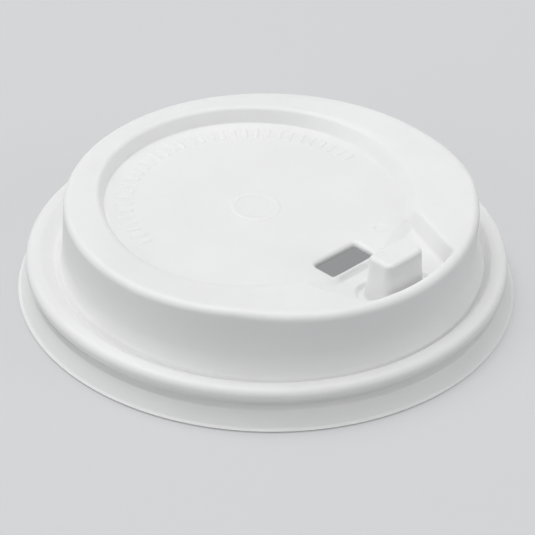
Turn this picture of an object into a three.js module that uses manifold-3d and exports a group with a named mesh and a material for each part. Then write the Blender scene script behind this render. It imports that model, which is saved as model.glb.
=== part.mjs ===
// Takeaway cup lid, thermoformed from one thin sheet.
// Millimetres, +Z up, origin at the bottom centre, drinking side toward -Y.
import * as THREE from 'three';
import { mergeVertices } from 'three/addons/utils/BufferGeometryUtils.js';
import Module from 'manifold-3d';

const wasm = await Module();
wasm.setup();

const SKIN = 0.45;                    // wall thickness of the formed sheet
const SIDES = 96;                     // facets round the lid
const CUP_RIM_R = 45;                 // rolled rim of the cup that the lid snaps over

// Snap bead over the cup's rim, and the groove below it that grips the rim
const BEAD_R = CUP_RIM_R + SKIN - 0.05;
const BEAD_ROUND = 1.5;
const BEAD_FLAT = 1.2;                // width of the flat on top, which sits on the cup's rim
const BEAD_Z = 7.9;
const GROOVE_DEPTH = 0.9;
const GROOVE_R = BEAD_R - GROOVE_DEPTH;
const GROOVE_Z = 4.5;

// Skirt that flares from the groove to the trimmed edge
const SKIRT_TOP_R = GROOVE_R + 0.2;
const SKIRT_TOP_Z = GROOVE_Z - 1;
const SKIRT_FLARE = 1.75;
const SKIRT_R = SKIRT_TOP_R + SKIRT_FLARE;
const LIP_WIDTH = 0.55;               // the trimmed edge stands out from the skirt
const LIP_H = SKIN + 0.05;
const LIP_R = SKIRT_R + LIP_WIDTH;

// Raised wall and its rim; the rim lies a little toward the drinking side
const VALLEY_R = BEAD_R - 5;          // valley between bead and wall
const VALLEY_Z = BEAD_Z - 1.5;
const FOOT_ROUND = 8;                 // the foot of the wall sweeps out into the valley
const WALL_R = VALLEY_R - 1.55;
const WALL_Z = VALLEY_Z + 4.7;
const WALL_DRAFT = 0.15;
const RIM_R = WALL_R - WALL_DRAFT;
const RIM_ROUND = 1.2;
const RIM_Z = 19.6;
const RIM_SHIFT = 0.35;

// The rim climbs toward the drinking side, then falls to its front
const CLIMB_START = 4.6;              // distances from the centre along the drinking axis
const CLIMB_END = 23.5;
const CLIMB = 0.5;
const FRONT_DROP = 1.3;

// Sunk deck, which falls a little toward the slot so that the drink runs back
const DECK_R = 28.3;
const DECK_Z = RIM_Z - 2.8;
const DECK_FALL = 0.011;              // fall per mm
const DECK_SHIFT = 3.6;               // the deck circle lies this far behind the centre
const DECK_DRAFT = 0.32;              // outward slope of the deck wall per mm of height

// Notch through the top in front of the deck, level with it, and the lower pocket in the notch
const NOTCH_HALF = 16.8;              // half width of the floor, where the notch starts
const NOTCH_START = 18;
const NOTCH_TAPER = 0.35;             // each side comes in by this much per mm toward the front
const NOTCH_DRAFT = 0.22;
const NOTCH_FRONT_R = RIM_R - 2.2;    // the rest of the rim stays as a narrow ridge
const POCKET_Z = DECK_Z - 1.3;
const POCKET_START = 25.1;            // foot of its back wall, straight in the middle
const POCKET_MIDDLE = 6.2;            // half width of the straight part
const POCKET_SLANT = 0.33;            // slope of the back wall's line beside it
const POCKET_DRAFT = 1;               // outward slope of the back wall per mm of height

// Hollow plug that stands in the pocket, and the moat round its foot
const PLUG_AT = 32.4;
const PLUG_LENGTH = 9.3;              // across the drinking axis, at the top
const PLUG_WIDTH = 5.5;
const PLUG_CORNER = 1.1;
const PLUG_EDGE = 0.5;                // rounding of the upper edge
const PLUG_FLARE = 0.6;               // how much wider the foot is, on each side
const MOAT_Z = POCKET_Z - 0.9;
const MOAT_LENGTH = 14.6;
const MOAT_WIDTH = 7.8;
const MOAT_DRAFT = 0.1;
const PLUG_Z = MOAT_Z + 8.5;

// Drinking slot and the small round dimple beside it
const SLOT_X = -0.9;
const SLOT_AT = 21.1;
const SLOT_LENGTH = 10.6;
const SLOT_WIDTH = 5;
const SLOT_CORNER = 0.9;
const DIMPLE_X = 11.3;
const DIMPLE_AT = 18.7;
const DIMPLE_R = 1.35;
const DIMPLE_DEPTH = 0.25;

const CLEAR = 5;                      // cutters end this far above the rim and below the lid

function solid(geometry) {
  geometry.deleteAttribute('normal');
  geometry.deleteAttribute('uv');
  const merged = mergeVertices(geometry, 1e-5);
  return new wasm.Manifold(new wasm.Mesh({
    numProp: 3,
    vertProperties: new Float32Array(merged.attributes.position.array),
    triVerts: new Uint32Array(merged.index.array),
  }));
}

function arc(r, z, radius, degrees) {
  return degrees.map((d) => {
    const a = THREE.MathUtils.degToRad(d);
    return [r + radius * Math.cos(a), z + radius * Math.sin(a)];
  });
}

// Outer face of the sheet from the foot of the skirt to the centre of the top, as (r, z)
function outerFace() {
  const beadCentre = BEAD_R - BEAD_ROUND;
  return [
    [SKIRT_R, LIP_H], [SKIRT_TOP_R, SKIRT_TOP_Z], [GROOVE_R, GROOVE_Z],
    ...arc(beadCentre, BEAD_Z - BEAD_ROUND, BEAD_ROUND, [-45, -15, 20, 55, 90]),
    [beadCentre - BEAD_FLAT, BEAD_Z], [VALLEY_R + 0.6, VALLEY_Z + 0.2], [VALLEY_R, VALLEY_Z],
    ...arc(WALL_R + FOOT_ROUND, WALL_Z, FOOT_ROUND, [213, 202, 191, 180]),
    ...arc(RIM_R - RIM_ROUND, RIM_Z - RIM_ROUND, RIM_ROUND, [0, 30, 60, 90]),
    [(RIM_R + DECK_R) / 2, RIM_Z], [DECK_R - 2, RIM_Z], [0, RIM_Z],
  ];
}

// The same line moved inward by a thickness, each corner along its mitre
function inset(face, by) {
  const normal = (a, b) => {
    const dr = b[0] - a[0], dz = b[1] - a[1], d = Math.hypot(dr, dz);
    return [-dz / d, dr / d];
  };
  return face.map((p, i) => {
    const n1 = normal(face[Math.max(i - 1, 0)], face[Math.max(i, 1)]);
    const n2 = i < face.length - 1 ? normal(p, face[i + 1]) : n1;
    const k = by / (1 + n1[0] * n2[0] + n1[1] * n2[1]);
    return [Math.max(p[0] + k * (n1[0] + n2[0]), 0), p[1] + k * (n1[1] + n2[1])];
  });
}

function rise(along) {
  if (along < CLIMB_START) return 0;
  if (along < CLIMB_END) return CLIMB * (along - CLIMB_START) / (CLIMB_END - CLIMB_START);
  return CLIMB - FRONT_DROP * (along - CLIMB_END) / (RIM_R - CLIMB_END);
}

// Moves a point of the wall or rim: fully at the rim's rounding, not at all at the wall's foot
function lean(position, i) {
  const share = (position.getZ(i) - WALL_Z) / (RIM_Z - RIM_ROUND - WALL_Z);
  const part = Math.min(Math.max(share, 0), 1);
  const y = position.getY(i) - RIM_SHIFT * part;
  position.setY(i, y);
  position.setZ(i, position.getZ(i) + rise(-y) * part);
}

// Body under one face of the sheet: a revolved line with its rim shifted and lifted
function revolved(skin) {
  const face = skin ? inset(outerFace(), skin) : outerFace();
  const foot = skin
    ? [[0, -CLEAR], [face[0][0], -CLEAR]]
    : [[0, 0], [LIP_R, 0], [LIP_R, LIP_H]];
  const points = [...foot, ...face].map(([r, z]) => new THREE.Vector2(r, z));
  const geometry = new THREE.LatheGeometry(points, SIDES);
  geometry.rotateX(Math.PI / 2);
  const position = geometry.attributes.position;
  for (let i = 0; i < position.count; i += 1) lean(position, i);
  return solid(geometry);
}

// Solid through a stack of loops of [x, y, z] points; every loop has the same number of points
function stack(loops) {
  const n = loops[0].length;
  const index = [];
  for (let a = 0; a < (loops.length - 1) * n; a += n) {
    for (let i = 0; i < n; i += 1) {
      const j = (i + 1) % n, b = a + n;
      index.push(a + i, a + j, b + j, a + i, b + j, b + i);
    }
  }
  const cap = (loop) => THREE.ShapeUtils.triangulateShape(
    loop.map(([x, y]) => new THREE.Vector2(x, y)), []);
  const last = (loops.length - 1) * n;
  for (const [a, b, c] of cap(loops[0])) index.push(a, c, b);
  for (const [a, b, c] of cap(loops[loops.length - 1])) index.push(last + a, last + b, last + c);
  const geometry = new THREE.BufferGeometry();
  geometry.setAttribute('position', new THREE.Float32BufferAttribute(loops.flat(2), 3));
  geometry.setIndex(index);
  return solid(geometry);
}

// Loops run anticlockwise seen from above
function roundedBox(x, at, z, length, width, corner, steps = 4) {
  const loop = [];
  for (let q = 0; q < 4; q += 1) {
    const sx = q === 0 || q === 3 ? 1 : -1, sy = q < 2 ? 1 : -1;
    for (let i = 0; i <= steps; i += 1) {
      const a = (q + i / steps) * Math.PI / 2;
      loop.push([x + sx * (length / 2 - corner) + corner * Math.cos(a),
        -at + sy * (width / 2 - corner) + corner * Math.sin(a), z]);
    }
  }
  return loop;
}

function deckLevel(y) {
  return DECK_Z - DECK_FALL * (DECK_R + DECK_SHIFT - y);
}

function circle(x, at, radius, steps, heightAt) {
  return Array.from({ length: steps }, (_, i) => {
    const a = i * 2 * Math.PI / steps;
    const y = -at + radius * Math.sin(a);
    return [x + radius * Math.cos(a), y, heightAt(y)];
  });
}

function deck(skin) {
  const grown = (height) => DECK_R + skin + DECK_DRAFT * height;
  const over = RIM_Z + CLEAR;
  return stack([
    circle(0, -DECK_SHIFT, grown(-skin), SIDES, (y) => deckLevel(y) - skin),
    circle(0, -DECK_SHIFT, grown(over - DECK_Z), SIDES, () => over),
  ]);
}

// Outline that narrows toward the drinking side and follows the rim there
function notchLoop(back, grow, z) {
  const radius = NOTCH_FRONT_R + grow;
  const half = (at) => NOTCH_HALF + grow - NOTCH_TAPER * (at - NOTCH_START);
  let reach = half(radius);
  for (let i = 0; i < 8; i += 1) reach = half(Math.sqrt(radius ** 2 - reach ** 2) + RIM_SHIFT);
  const turn = Math.asin(reach / radius), count = 12;
  const front = Array.from({ length: count + 1 }, (_, i) => {
    const a = turn * (2 * i / count - 1);
    return [radius * Math.sin(a), -RIM_SHIFT - radius * Math.cos(a), z];
  });
  const rear = back.map(([x, at]) => [Math.sign(x) * Math.min(Math.abs(x), half(at)), -at, z]);
  return [...rear, ...front];
}

function notch(skin) {
  const backEdge = [[NOTCH_HALF + CLEAR, NOTCH_START], [-NOTCH_HALF - CLEAR, NOTCH_START]];
  const floor = notchLoop(backEdge, skin, 0).map(([x, y]) => [x, y, deckLevel(y) - skin]);
  const over = RIM_Z + CLEAR;
  return stack([floor, notchLoop(backEdge, skin + NOTCH_DRAFT * (over - DECK_Z), over)]);
}

function pocket(skin) {
  const wide = NOTCH_HALF + CLEAR, behind = skin * Math.hypot(1, POCKET_DRAFT);
  return stack([POCKET_Z - skin, DECK_Z + 1].map((z) => {
    const start = POCKET_START - POCKET_DRAFT * (z - POCKET_Z) - behind;
    const side = start - POCKET_SLANT * (NOTCH_HALF - POCKET_MIDDLE);
    const backEdge = [[wide, side], [POCKET_MIDDLE, start], [-POCKET_MIDDLE, start], [-wide, side]];
    return notchLoop(backEdge, skin, z);
  }));
}

function moat(skin) {
  return stack([MOAT_Z - skin, RIM_Z + CLEAR].map((z) => {
    const grow = skin + MOAT_DRAFT * (z - MOAT_Z);
    const width = MOAT_WIDTH + 2 * grow;
    return roundedBox(0, PLUG_AT, z, MOAT_LENGTH + 2 * grow, width, width / 2 - 0.05, 6);
  }));
}

function plug(skin) {
  const top = PLUG_Z - skin;
  const level = (z, grow) => roundedBox(0, PLUG_AT, z, PLUG_LENGTH + 2 * (grow - skin),
    PLUG_WIDTH + 2 * (grow - skin), PLUG_CORNER + Math.max(grow, 0));
  return stack([level(MOAT_Z - CLEAR / 2, PLUG_FLARE), level(MOAT_Z + 0.6, PLUG_FLARE),
    level(MOAT_Z + 2.4, PLUG_FLARE / 3), level(top - PLUG_EDGE, 0),
    level(top - 0.3 * PLUG_EDGE, -0.3 * PLUG_EDGE), level(top, -PLUG_EDGE)]);
}

function dimple(skin) {
  const floor = (y) => deckLevel(y) - DIMPLE_DEPTH - skin;
  return stack([floor, () => RIM_Z + CLEAR].map(
    (heightAt) => circle(DIMPLE_X, DIMPLE_AT, DIMPLE_R + skin, 24, heightAt)));
}

function slot() {
  return stack([-CLEAR, RIM_Z + CLEAR].map(
    (z) => roundedBox(SLOT_X, SLOT_AT, z, SLOT_LENGTH, SLOT_WIDTH, SLOT_CORNER)));
}

// Everything under one face of the sheet: the outer face for 0, the inner one for the thickness
function form(skin) {
  return [deck, notch, pocket, moat, dimple]
    .reduce((body, cutter) => body.subtract(cutter(skin)), revolved(skin))
    .add(plug(skin));
}

function meshOf(body, name, material) {
  const mesh = body.getMesh();
  const geometry = new THREE.BufferGeometry();
  geometry.setAttribute('position', new THREE.Float32BufferAttribute(mesh.vertProperties, 3));
  geometry.setIndex(Array.from(mesh.triVerts));
  geometry.computeVertexNormals();
  const result = new THREE.Mesh(geometry, material);
  result.name = name;
  return result;
}

const white = new THREE.MeshStandardMaterial({ color: 0xf2f3f3, roughness: 0.42, metalness: 0 });
const lid = new THREE.Group();
lid.name = 'cup_lid';
lid.add(meshOf(form(0).subtract(form(SKIN)).subtract(slot()), 'lid', white));

export default lid;
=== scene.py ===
"""Takeaway cup lid: one fine mesh of the formed sheet, its plastic, and the stage round it."""
import math
import bpy
import numpy as np
from mathutils import Matrix, Vector, geometry, kdtree


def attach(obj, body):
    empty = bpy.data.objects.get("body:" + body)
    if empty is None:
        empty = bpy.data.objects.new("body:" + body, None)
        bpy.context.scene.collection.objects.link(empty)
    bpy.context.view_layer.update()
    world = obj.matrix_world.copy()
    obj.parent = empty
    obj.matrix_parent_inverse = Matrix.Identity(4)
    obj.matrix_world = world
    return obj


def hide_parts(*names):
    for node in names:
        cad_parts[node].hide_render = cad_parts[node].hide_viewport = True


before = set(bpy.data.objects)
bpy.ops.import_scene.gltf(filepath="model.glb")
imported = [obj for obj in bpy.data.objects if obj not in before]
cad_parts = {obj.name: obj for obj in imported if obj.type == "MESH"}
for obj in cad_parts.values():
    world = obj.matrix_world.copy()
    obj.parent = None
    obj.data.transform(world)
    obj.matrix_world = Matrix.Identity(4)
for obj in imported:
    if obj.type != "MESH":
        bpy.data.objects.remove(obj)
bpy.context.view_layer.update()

# Millimetres, as in the CAD model; the drinking side looks toward -Y
SKIN = 0.45
LIP_R, LIP_Z = 47.0, 0.45
WALL_R, WALL_Z, FOOT_ROUND = 38.85, 11.1, 8.0
RIM_R, RIM_ROUND, RIM_Z = 38.8, 1.3, 19.6
RIM_LOW = RIM_Z - RIM_ROUND    # where the rim's rounding meets the wall
TOP_R = RIM_R - RIM_ROUND      # where it meets the top
# How far the rim, the wall's lower end and its foot lie toward the drinking side
RIM_SHIFT, WALL_SHIFT, FOOT_SHIFT = 0.9, 0.6, 1.1
FOOT_Z, SHIFTED_R, FIXED_R = 7.5, 40.8, 42.3
# Corners of the side below the wall's foot sweep, as (r, z, rounding)
SIDE_CORNERS = [
    (39.98, 7.42, 0.15),       # edge of the foot
    (40.3, 6.85, 0.25),        # valley
    (40.9, 6.87, 0.5),
    (42.5, 7.9, 1.8),          # snap bead
    (45.4, 7.9, 1.45),
    (45.4, 5.5, 0.7),
    (43.5, 5.1, 0.25),         # snap groove
    (43.5, 3.75, 0.15),
    (44.85, 3.4, 0.3),         # skirt
    (46.42, 0.75, 0.3),
]
SIDES = 264                    # points round the lid
CLIMB_START, CLIMB_END, CLIMB, FRONT_DROP = 4.6, 23.5, 0.85, 1.25
DECK_R, DECK_Z, DECK_SHIFT, DECK_FALL = 28.3, 16.8, 3.6, 0.011
DECK_EASE, INNER_DROP = 1.5, 0.9   # the deck's wall is softer and lower toward the drinking side
DIP, DIP_X, DIP_Y, DIP_SPREAD = 0.5, -26, -8, 160   # and lowest round here
NOTCH_X, NOTCH_HALF, NOTCH_START, NOTCH_TAPER, NOTCH_FRONT_R = 0.9, 16.7, 18.0, 0.35, 36.5
NOTCH_SIDE_EASE, NOTCH_FRONT_EASE, NOTCH_CORNER = 0.5, 1.35, 0.35
POCKET_Z, POCKET_START, POCKET_MIDDLE, POCKET_SLANT = 15.5, 25.1, 6.2, 0.33
RIDGE, RIDGE_OUT, RIDGE_HALF = 0.4, 1.05, 0.75      # the strip between slot and pocket
PLUG_AT, PLUG_Z, PLUG_DEPTH = 32.5, 23.1, 8.5
PLUG_LENGTH, PLUG_WIDTH, PLUG_CORNER = 9.3, 5.4, 1.2
MOAT_Z, MOAT_OUT, MOAT_LENGTH, MOAT_WIDTH, MOAT_CORNER = 14.6, 0.2, 14.2, 8.2, 3.2
SLOT_X, SLOT_AT, SLOT_LENGTH, SLOT_WIDTH, SLOT_CORNER = -0.9, 20.85, 10.6, 5.5, 0.9
SLOT_ROUND, SLOT_BACK_ROUND = 0.75, 1.0
DIMPLE_X, DIMPLE_AT, DIMPLE_R, DIMPLE_DEPTH = 11.6, 18.2, 1.0, 0.2
MARK_X, MARK_Y, MARK_R, MARK_HALF, MARK_HEIGHT = -0.7, 2.6, 4.2, 0.35, 0.13
DASH_R, DASH_LENGTH, DASH_WIDTH, DASH_CORNER, DASH_HEIGHT = 24.4, 2.9, 0.8, 0.38, 0.17
DASH_TURNS = np.radians(np.arange(-2, 170, 5.2))


def fillet(points, radii, steps=5):
    """A polyline with its inner corners rounded; each radius belongs to one inner corner."""
    out = [points[0]]
    for (a, b, c), radius in zip(zip(points, points[1:], points[2:]), radii):
        a, b, c = (np.array(p, float) for p in (a, b, c))
        u, v = (a - b) / np.linalg.norm(a - b), (c - b) / np.linalg.norm(c - b)
        half = math.acos(np.clip(u @ v, -1, 1)) / 2
        if radius <= 0 or half > 1.55:
            out.append(b)
            continue
        centre = b + (u + v) / np.linalg.norm(u + v) * radius / math.sin(half)
        start, end = (b + w * radius / math.tan(half) - centre for w in (u, v))
        turn = math.atan2(start[0] * end[1] - start[1] * end[0], start @ end)
        for k in range(steps + 1):
            t = turn * k / steps
            spin = np.array([[math.cos(t), -math.sin(t)], [math.sin(t), math.cos(t)]])
            out.append(centre + spin @ start)
    out.append(points[-1])
    return np.array(out, float)


def wall(width, height, low, high, steps=5):
    """Section of a formed wall: distance outward from its foot, and height from 0 to 1."""
    line = fillet([(-4, 0), (0, 0), (width, height), (width + 4, height)], [low, high], steps)
    return line[1:-1, 0], line[1:-1, 1] / height


DECK_WALL = wall(0.95, 2.8, 0.3, 0.85)
NOTCH_WALL = wall(0.5, 4.2, 0.35, 0.6)
STEP_WALL = wall(1.05, 1.1, 0.35, 0.35, 4)
MOAT_WALL = wall(0.45, 1.1, 0.3, 0.4, 4)
PLUG_LINE = fillet([(-4, PLUG_DEPTH), (0, PLUG_DEPTH), (0.4, 2.4), (0.8, 0), (4, 0)], [0.75, 5.0, 0.8])
PLUG_WALL = PLUG_LINE[1:-1, 0], PLUG_LINE[1:-1, 1] / PLUG_DEPTH
DIMPLE_WALL = wall(0.5, 0.3, 0.5, 0.5, 3)
DASH_WALL = wall(0.16, 0.24, 0.12, 0.16, 2)


def soft_max(a, b, corner):
    """The larger of two distances, with the corner between them rounded."""
    return np.minimum(np.maximum(a, b), -corner) + np.hypot(np.maximum(a + corner, 0),
                                                            np.maximum(b + corner, 0))


def soft_over(x, width=0.35):
    """How far x is over 0, with a soft start."""
    return 0.5 * (x + np.sqrt(x * x + width * width))


def rise(along):
    """How much higher the rim lies, by the distance toward the drinking side."""
    up = CLIMB / (CLIMB_END - CLIMB_START)
    down = up + FRONT_DROP / (RIM_R - CLIMB_END)
    return up * soft_over(along - CLIMB_START) - down * soft_over(along - CLIMB_END)


def box(x, y, length, width, corner):
    """Distance from a rectangle with round corners, negative inside; so are the shapes below."""
    qx, qy = np.abs(x) - length / 2 + corner, np.abs(y) - width / 2 + corner
    return np.hypot(np.maximum(qx, 0), np.maximum(qy, 0)) + np.minimum(np.maximum(qx, qy), 0) - corner


def drinking_half(y):
    """0 at the back of the deck, 1 from its middle to its drinking side."""
    part = np.clip(0.95 - 0.045 * (y - 2), 0, 1)
    return part * part * (3 - 2 * part)


def deck(x, y):
    return (np.hypot(x, y - DECK_SHIFT) - DECK_R) / (1 + DECK_EASE * drinking_half(y))


def deck_level(y):
    return DECK_Z - DECK_FALL * (DECK_R + DECK_SHIFT - y)


def top_level(x, y):
    """The top round the deck, which falls inward on the drinking side, most on its left."""
    inward = np.clip((TOP_R - np.hypot(x, y + RIM_SHIFT)) / (TOP_R - DECK_R - 2), 0, 1)
    dip = DIP * np.exp(-((x - DIP_X) ** 2 + (y - DIP_Y) ** 2) / DIP_SPREAD)
    return RIM_Z + rise(-y) - inward * (INNER_DROP * drinking_half(y) + dip)


def notch(x, y):
    lean = math.hypot(1, NOTCH_TAPER)
    side = (np.abs(x - NOTCH_X) - NOTCH_HALF - NOTCH_TAPER * (y + NOTCH_START)) / lean
    front = np.hypot(x, y + RIM_SHIFT) - NOTCH_FRONT_R
    round_corner = soft_max(NOTCH_SIDE_EASE * side, NOTCH_FRONT_EASE * front, NOTCH_CORNER)
    return np.maximum(round_corner, y + NOTCH_START)


def lower(x, y):
    """Distance from the pocket's back edge, which is crisp in the middle and soft beside it."""
    slant = y + POCKET_START - POCKET_SLANT * (np.abs(x) - POCKET_MIDDLE)
    soft = 1 + 1.2 * np.clip((np.abs(x) - POCKET_MIDDLE + 0.5) / 1.2, 0, 1)
    return -soft_max(-(y + POCKET_START), -slant, 0.3) / soft


def ridge(x, y):
    """Height of the strip between slot and pocket above the deck, with round ends."""
    along = np.clip((POCKET_MIDDLE + 0.3 - np.abs(x)) / 0.9, 0, 1)
    across = np.clip(1 - np.abs(y + POCKET_START - RIDGE_OUT) / RIDGE_HALF, 0, 1)
    return RIDGE * along * (2 - along) * across * (2 - across)


def moat(x, y):
    return box(x, y + PLUG_AT - MOAT_OUT, MOAT_LENGTH, MOAT_WIDTH, MOAT_CORNER)


def plug(x, y):
    return box(x, y + PLUG_AT, PLUG_LENGTH, PLUG_WIDTH, PLUG_CORNER)


def slot(x, y):
    return box(x - SLOT_X, y + SLOT_AT, SLOT_LENGTH, SLOT_WIDTH, SLOT_CORNER)


def dimple(x, y):
    return np.hypot(x - DIMPLE_X, y + DIMPLE_AT) - DIMPLE_R


def mark_reach(x, y):
    """Distance from the middle of the plain ring mark."""
    return np.hypot(x - MARK_X, y - MARK_Y)


def ring_mark(x, y):
    return np.abs(mark_reach(x, y) - MARK_R) - MARK_HALF


def one_dash(x, y, turn):
    u = x * math.cos(turn) + (y - DECK_SHIFT) * math.sin(turn) - DASH_R
    v = (y - DECK_SHIFT) * math.cos(turn) - x * math.sin(turn)
    return box(u, v, DASH_LENGTH, DASH_WIDTH, DASH_CORNER)


def dash(x, y):
    return np.min([one_dash(x, y, turn) for turn in DASH_TURNS], axis=0)


def share(section, distance):
    """Height from 0 to 1 on a wall's section."""
    return np.interp(distance, *section)


def slot_lip(x, y):
    """The sheet turns down into the slot, with a rounder edge at the back."""
    back = np.clip((y + SLOT_AT) / SLOT_WIDTH + 0.5, 0, 1)
    r = SLOT_ROUND + (SLOT_BACK_ROUND - SLOT_ROUND) * back
    drop = r - np.sqrt(np.maximum(r * r - (r - np.clip(slot(x, y), 0, r)) ** 2, 0))
    return drop + 0.1 * (slot(x, y) < -0.01)


def height(x, y):
    """Height of the sheet's outer face anywhere inside the rim's rounding."""
    level = deck_level(y)
    z = level + (top_level(x, y) - level) * share(DECK_WALL, deck(x, y))
    floor = POCKET_Z + (level - POCKET_Z) * share(STEP_WALL, lower(x, y)) + ridge(x, y)
    z = floor + (z - floor) * share(NOTCH_WALL, notch(x, y))
    z = MOAT_Z + (z - MOAT_Z) * share(MOAT_WALL, moat(x, y))
    z = z + (PLUG_Z - z) * share(PLUG_WALL, plug(x, y))
    z = z - DIMPLE_DEPTH * (1 - share(DIMPLE_WALL, dimple(x, y)))
    z = z + DASH_HEIGHT * (1 - share(DASH_WALL, dash(x, y)))
    z = z + MARK_HEIGHT * (1 - share(DASH_WALL, ring_mark(x, y)))
    return z - slot_lip(x, y)


class Plan:
    """Points and fixed edges, seen from above, that the top of the lid is meshed from."""

    def __init__(self):
        self.points, self.edges, self.used = [], [], []

    def line(self, points, keep, closed=False):
        """Adds a line; only the points marked in keep are used."""
        start = len(self.points)
        self.points += [tuple(p) for p in points]
        n = len(points)
        for i in range(n if closed else n - 1):
            j = (i + 1) % n
            if keep[i] and keep[j]:
                self.edges.append((start + i, start + j))
        self.used += list(keep)

    def contour(self, distance, centre, offset, spacing, reach, keep=None):
        """The closed line at one distance from a shape, found along rays from its centre."""
        cx, cy = centre
        turn = np.linspace(0, 2 * math.pi, 721)[:-1]
        out = self.along(distance, centre, offset, turn, reach)
        step = np.hypot(*np.diff(np.vstack([out, out[:1]]), axis=0).T)
        run = np.concatenate([[0], np.cumsum(step)])
        count = max(int(run[-1] / spacing), 12)
        turn = np.interp(np.arange(count) * run[-1] / count, run, np.append(turn, 2 * math.pi))
        out = self.along(distance, centre, offset, turn, reach)
        self.line(out, keep(*out.T) if keep else np.ones(count, bool), closed=True)

    @staticmethod
    def along(distance, centre, offset, turn, reach):
        """Points where rays from the centre cross the line, found by halving."""
        near, far = np.zeros_like(turn), np.full_like(turn, reach)
        for _ in range(40):
            middle = (near + far) / 2
            inside = distance(centre[0] + middle * np.cos(turn),
                              centre[1] + middle * np.sin(turn)) < offset
            near, far = np.where(inside, middle, near), np.where(inside, far, middle)
        return np.stack([centre[0] + near * np.cos(turn), centre[1] + near * np.sin(turn)], 1)


def inside_top(x, y):
    return np.hypot(x, y + RIM_SHIFT) < TOP_R - 0.15


def plan_walls(plan):
    """Lines along the deck, the notch, the moat, the plug and the slot."""
    for d in DECK_WALL[0]:
        plan.contour(deck, (0, DECK_SHIFT), d, 0.62, 40,
                     lambda x, y: inside_top(x, y) & (notch(x, y) > -0.6))
    for d in NOTCH_WALL[0]:
        plan.contour(notch, (0, -27), d, 0.5, 30,
                     lambda x, y: inside_top(x, y) & (deck(x, y) > -1.2) & (y < -19))
    for d in MOAT_WALL[0]:
        plan.contour(moat, (0, -PLUG_AT), d, 0.4, 14, inside_top)
    for d in PLUG_WALL[0]:
        plan.contour(plug, (0, -PLUG_AT), d, 0.36, 9, inside_top)
    for d in (0.05, 0.12, 0.22, 0.35, 0.53, 0.75, 1.0):
        plan.contour(slot, (SLOT_X, -SLOT_AT), d, 0.36, 9)


def plan_marks(plan):
    """Lines along the dimple, the ring mark and the dashes."""
    for d in DIMPLE_WALL[0]:
        plan.contour(dimple, (DIMPLE_X, -DIMPLE_AT), d, 0.3, 4)
    for d in DASH_WALL[0]:
        for radius in (MARK_R + MARK_HALF + d, MARK_R - MARK_HALF - d):
            plan.contour(mark_reach, (MARK_X, MARK_Y), radius, 0.45, 8)
        for turn in DASH_TURNS:
            centre = (DASH_R * math.cos(turn), DECK_SHIFT + DASH_R * math.sin(turn))
            plan.contour(lambda x, y: one_dash(x, y, turn), centre, d, 0.3, 3)


def plan_step(plan):
    """Lines along the pocket's back edge."""
    x = np.arange(-16.6, 16.61, 0.45)
    for d in STEP_WALL[0]:
        low, high = np.full_like(x, -32), np.full_like(x, -16)
        for _ in range(40):
            middle = (low + high) / 2
            inside = lower(x, middle) < d
            low, high = np.where(inside, middle, low), np.where(inside, high, middle)
        clear = (notch(x, low) < 0.2) & (moat(x, low) > 0.7) & (slot(x, low) > 0.8)
        plan.line(np.stack([x, low], 1), clear)


def plan_creases(plan):
    """Lines along the two soft folds across the top."""
    x = np.arange(-37, 37.1, 0.9)
    for fold in (-CLIMB_START, -CLIMB_END):
        for d in (-0.8, -0.35, -0.12, 0.12, 0.35, 0.8):
            y = np.full_like(x, fold + d)
            clear = inside_top(x, y) & (deck(x, y) > 1.6) & (notch(x, y) > 1.4)
            plan.line(np.stack([x, y], 1), clear)


def finish_plan(plan):
    """Adds the outer circle, the slot's edge and an even fill, and meshes the whole."""
    edge = Plan()
    edge.contour(slot, (SLOT_X, -SLOT_AT), -0.02, 0.36, 9)
    plan.line([(x, y - RIM_SHIFT) for x, y in circle(TOP_R)], np.ones(SIDES, bool), closed=True)
    plan.line(edge.points, np.ones(len(edge.points), bool), closed=True)
    number = np.cumsum(plan.used) - 1
    points = [p for p, used in zip(plan.points, plan.used) if used]
    edges = [(int(number[a]), int(number[b])) for a, b in plan.edges]
    tree = kdtree.KDTree(len(points))
    for i, (px, py) in enumerate(points):
        tree.insert((px, py, 0), i)
    tree.balance()
    pitch = 1.15
    for row in range(-38, 39):
        for column in range(-38, 39):
            px, py = (column + row % 2 / 2) * pitch, row * pitch * 0.866
            clear = math.hypot(px, py + RIM_SHIFT) < TOP_R - 0.4 and slot(px, py) > 0.3
            if clear and tree.find((px, py, 0))[2] > 0.5:
                points.append((px, py))
    verts, _, faces, *_ = geometry.delaunay_2d_cdt([Vector(p) for p in points], edges, [], 0, 1e-4)
    verts = np.array(verts)
    middle = np.array([verts[f].mean(0) for f in faces])
    solid = slot(middle[:, 0], middle[:, 1]) > -0.03
    return verts, [tuple(f) for f, s in zip(faces, solid) if s]


def circle(radius):
    """Points round the lid's axis."""
    turn = np.arange(SIDES) * 2 * math.pi / SIDES
    return [(radius * math.cos(a), radius * math.sin(a)) for a in turn]


def side_section():
    """Outer face from the top's edge down to the trimmed lip, as (r, z)."""
    a = np.radians(np.linspace(90, 0, 8))
    rim = [(TOP_R + RIM_ROUND * math.cos(t), RIM_LOW + RIM_ROUND * math.sin(t)) for t in a]
    turn = np.radians(np.linspace(180, 205.5, 10))
    foot = np.stack([WALL_R + FOOT_ROUND * (1 + np.cos(turn)), WALL_Z + FOOT_ROUND * np.sin(turn)], 1)
    corners = [(r, z) for r, z, _ in SIDE_CORNERS]
    radii = [radius for _, _, radius in SIDE_CORNERS]
    line = fillet([foot[-1]] + corners + [(LIP_R, LIP_Z)], radii, 7)
    wall_line = np.linspace(rim[-1], foot[0], 8)[1:-1]
    return np.vstack([rim, wall_line, foot, line[1:]])


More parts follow.
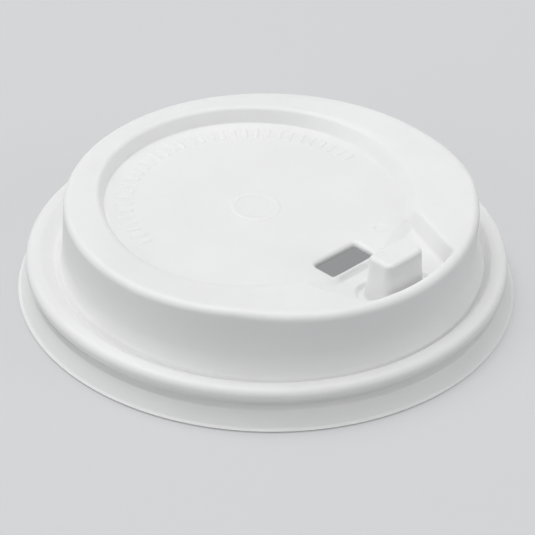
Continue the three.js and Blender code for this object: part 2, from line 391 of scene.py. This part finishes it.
def side_ring(r, z):
    """One ring of the side, moved and lifted as the wall is at its height."""
    shift = np.interp(z, (FOOT_Z, WALL_Z, RIM_LOW), (FOOT_SHIFT, WALL_SHIFT, RIM_SHIFT))
    part = np.clip((FIXED_R - r) / (FIXED_R - SHIFTED_R), 0, 1)
    ring = np.array(circle(r)) - (0, shift * part)
    lift = rise(-ring[:, 1]) * np.clip((z - WALL_Z) / (RIM_LOW - WALL_Z), 0, 1)
    return np.column_stack([ring, z + lift])


def sheet():
    """Vertices and faces of the outer face: the top, then rings down the side."""
    plan = Plan()
    for add in (plan_walls, plan_marks, plan_step, plan_creases):
        add(plan)
    flat, faces = finish_plan(plan)
    x, y = flat.T
    verts = [np.stack([x, y, height(x, y)], 1)]
    off = np.abs(np.hypot(x, y + RIM_SHIFT) - TOP_R)
    edge = np.argsort(off)[:SIDES]
    turn = np.mod(np.arctan2(y[edge] + RIM_SHIFT, x[edge]) + 1e-4, 2 * math.pi)
    edge = edge[np.argsort(turn)]
    verts[0][edge, 2] = RIM_Z + rise(-y[edge])
    above, count = [int(i) for i in edge], len(x)
    for r, z in side_section()[1:]:
        verts.append(side_ring(r, z))
        below = list(range(count, count + SIDES))
        count += SIDES
        for i in range(SIDES):
            j = (i + 1) % SIDES
            faces.append((above[i], below[i], below[j], above[j]))
        above = below
    return np.vstack(verts), faces


def face_normals(verts, faces):
    """Normals of faces that all have three or all four corners, longer for larger faces."""
    a, b, c = (verts[[f[k] for f in faces]] for k in range(3))
    d = verts[[f[-1] for f in faces]]
    return np.cross(c - a, d - b) if len(faces[0]) == 4 else np.cross(b - a, c - a)


def thicken(verts, faces):
    """Closes the outer face with an inner one, a sheet's thickness behind it."""
    normals = np.zeros_like(verts)
    for size in (3, 4):
        group = [f for f in faces if len(f) == size]
        if group:
            n = face_normals(verts, group)
            for k in range(size):
                np.add.at(normals, [f[k] for f in group], n)
    normals /= np.linalg.norm(normals, axis=1)[:, None]
    inner = verts - SKIN * normals
    inner[:, 2] = np.maximum(inner[:, 2], 0)
    n = len(verts)
    sides = dict.fromkeys(side for f in faces for side in zip(f, f[1:] + f[:1]))
    rim = [(b, a, a + n, b + n) for a, b in sides if (b, a) not in sides]
    back = [tuple(i + n for i in reversed(f)) for f in faces]
    return np.vstack([verts, inner]), faces + back + rim


def build_lid():
    verts, faces = thicken(*sheet())
    mesh = bpy.data.meshes.new("lid_sheet")
    mesh.from_pydata((verts * 0.001).tolist(), [], faces)
    mesh.validate()
    mesh.shade_smooth()
    mesh.set_sharp_from_angle(angle=math.radians(62))
    lid = bpy.data.objects.new("lid_sheet", mesh)
    bpy.context.scene.collection.objects.link(lid)
    return lid


def plastic():
    """Smooth white sheet plastic with the faint texture and waviness of forming."""
    mat = bpy.data.materials.new("white_sheet_plastic")
    mat.use_nodes = True
    nodes, links = mat.node_tree.nodes, mat.node_tree.links
    shader = nodes["Principled BSDF"]
    shader.inputs["Subsurface Weight"].default_value = 0.5
    shader.inputs["Subsurface Radius"].default_value = (1.0, 1.0, 1.0)
    shader.inputs["Subsurface Scale"].default_value = 0.001
    shader.inputs["IOR"].default_value = 1.49
    place = nodes.new("ShaderNodeTexCoord")

    def noise(scale, detail):
        node = nodes.new("ShaderNodeTexNoise")
        node.inputs["Scale"].default_value = scale
        node.inputs["Detail"].default_value = detail
        links.new(place.outputs["Object"], node.inputs["Vector"])
        return node.outputs["Fac"]

    def spread(source, low, high):
        node = nodes.new("ShaderNodeMapRange")
        node.inputs["From Min"].default_value = 0.3
        node.inputs["From Max"].default_value = 0.7
        node.inputs["To Min"].default_value = low
        node.inputs["To Max"].default_value = high
        links.new(source, node.inputs["Value"])
        return node.outputs["Result"]

    tint = nodes.new("ShaderNodeMix")
    tint.data_type = "RGBA"
    tint.inputs["A"].default_value = (0.84, 0.838, 0.836, 1)
    tint.inputs["B"].default_value = (0.866, 0.864, 0.861, 1)
    links.new(spread(noise(60, 3), 0, 1), tint.inputs["Factor"])
    links.new(tint.outputs["Result"], shader.inputs["Base Color"])
    links.new(spread(noise(220, 4), 0.46, 0.56), shader.inputs["Roughness"])
    grain = nodes.new("ShaderNodeBump")
    grain.inputs["Strength"].default_value = 0.06
    grain.inputs["Distance"].default_value = 0.0001
    links.new(noise(2600, 3), grain.inputs["Height"])
    wave = nodes.new("ShaderNodeBump")
    wave.inputs["Strength"].default_value = 0.12
    wave.inputs["Distance"].default_value = 0.0006
    links.new(noise(95, 2), wave.inputs["Height"])
    links.new(grain.outputs["Normal"], wave.inputs["Normal"])
    links.new(wave.outputs["Normal"], shader.inputs["Normal"])
    return mat


def floor(half=3.0, seen_glow=0.3):
    """Pale ground that looks lighter to the camera than it lights the lid, and keeps its shadow."""
    mesh = bpy.data.meshes.new("floor")
    corners = [(-half, -half, 0), (half, -half, 0), (half, half, 0), (-half, half, 0)]
    mesh.from_pydata(corners, [], [(0, 1, 2, 3)])
    plane = bpy.data.objects.new("floor", mesh)
    bpy.context.scene.collection.objects.link(plane)
    mat = bpy.data.materials.new("pale_floor")
    mat.use_nodes = True
    nodes, links = mat.node_tree.nodes, mat.node_tree.links
    shader = nodes["Principled BSDF"]
    shader.inputs["Base Color"].default_value = (0.34, 0.345, 0.35, 1)
    shader.inputs["Roughness"].default_value = 0.8
    shader.inputs["Emission Color"].default_value = (0.97, 0.99, 1.0, 1)
    path = nodes.new("ShaderNodeLightPath")
    seen = path.outputs["Is Camera Ray"]
    for kind in ("Is Glossy Ray", "Is Transmission Ray"):
        either = nodes.new("ShaderNodeMath")
        either.operation = "MAXIMUM"
        links.new(seen, either.inputs[0])
        links.new(path.outputs[kind], either.inputs[1])
        seen = either.outputs["Value"]
    glow = nodes.new("ShaderNodeMath")
    glow.operation = "MULTIPLY"
    glow.inputs[1].default_value = seen_glow
    links.new(seen, glow.inputs[0])
    links.new(glow.outputs["Value"], shader.inputs["Emission Strength"])
    mesh.materials.append(mat)


def light(name, place, size, power, aim=(0, 0, 0.01)):
    data = bpy.data.lights.new(name, "AREA")
    data.shape = "DISK"
    data.size = size
    data.energy = power
    lamp = bpy.data.objects.new(name, data)
    lamp.location = place
    lamp.rotation_euler = (Vector(aim) - Vector(place)).to_track_quat("-Z", "Y").to_euler()
    bpy.context.scene.collection.objects.link(lamp)


def stage():
    floor()
    world = bpy.data.worlds.new("studio")
    world.use_nodes = True
    sky = world.node_tree.nodes["Background"]
    sky.inputs["Color"].default_value = (0.98, 0.99, 1.0, 1)
    sky.inputs["Strength"].default_value = 0.45
    bpy.context.scene.world = world
    light("top_softbox", (0.0, 0.35, 1.15), 0.9, 7.4)
    light("left_fill", (-1.0, 0.2, 0.4), 0.8, 2.6)
    light("right_fill", (0.5, -1.0, 0.5), 0.8, 2.8)


def camera():
    """Stands where the photograph was taken from, and rolled as it was."""
    distance, tilt, roll, turn = 0.5702, math.radians(34.605), 0.02242, math.radians(-45.4)
    spin = Matrix.Rotation(turn, 3, "Z")
    place = spin @ Vector((0, -distance * math.cos(tilt), distance * math.sin(tilt)))
    target = spin @ Vector((0.00018, 0.0052, 0))
    ahead = (target - place).normalized()
    right = ahead.cross(Vector((0, 0, 1))).normalized()
    up = right.cross(ahead)
    right, up = (right * math.cos(roll) + up * math.sin(roll),
                 up * math.cos(roll) - right * math.sin(roll))
    data = bpy.data.cameras.new("camera")
    sensor, focal_pixels, picture_pixels = 36, 3000, 535
    data.sensor_width = sensor
    data.lens = focal_pixels * sensor / picture_pixels
    data.clip_start, data.clip_end = 0.01, 20
    view = bpy.data.objects.new("camera", data)
    axes = Matrix((right, up, -ahead)).transposed()
    view.matrix_world = Matrix.Translation(place) @ axes.to_4x4()
    bpy.context.scene.collection.objects.link(view)
    bpy.context.scene.camera = view


camera()
lid = build_lid()
lid.data.materials.append(plastic())
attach(lid, "root")
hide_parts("lid")
stage()
bpy.context.scene.view_settings.view_transform = "Standard"
bpy.context.view_layer.update()
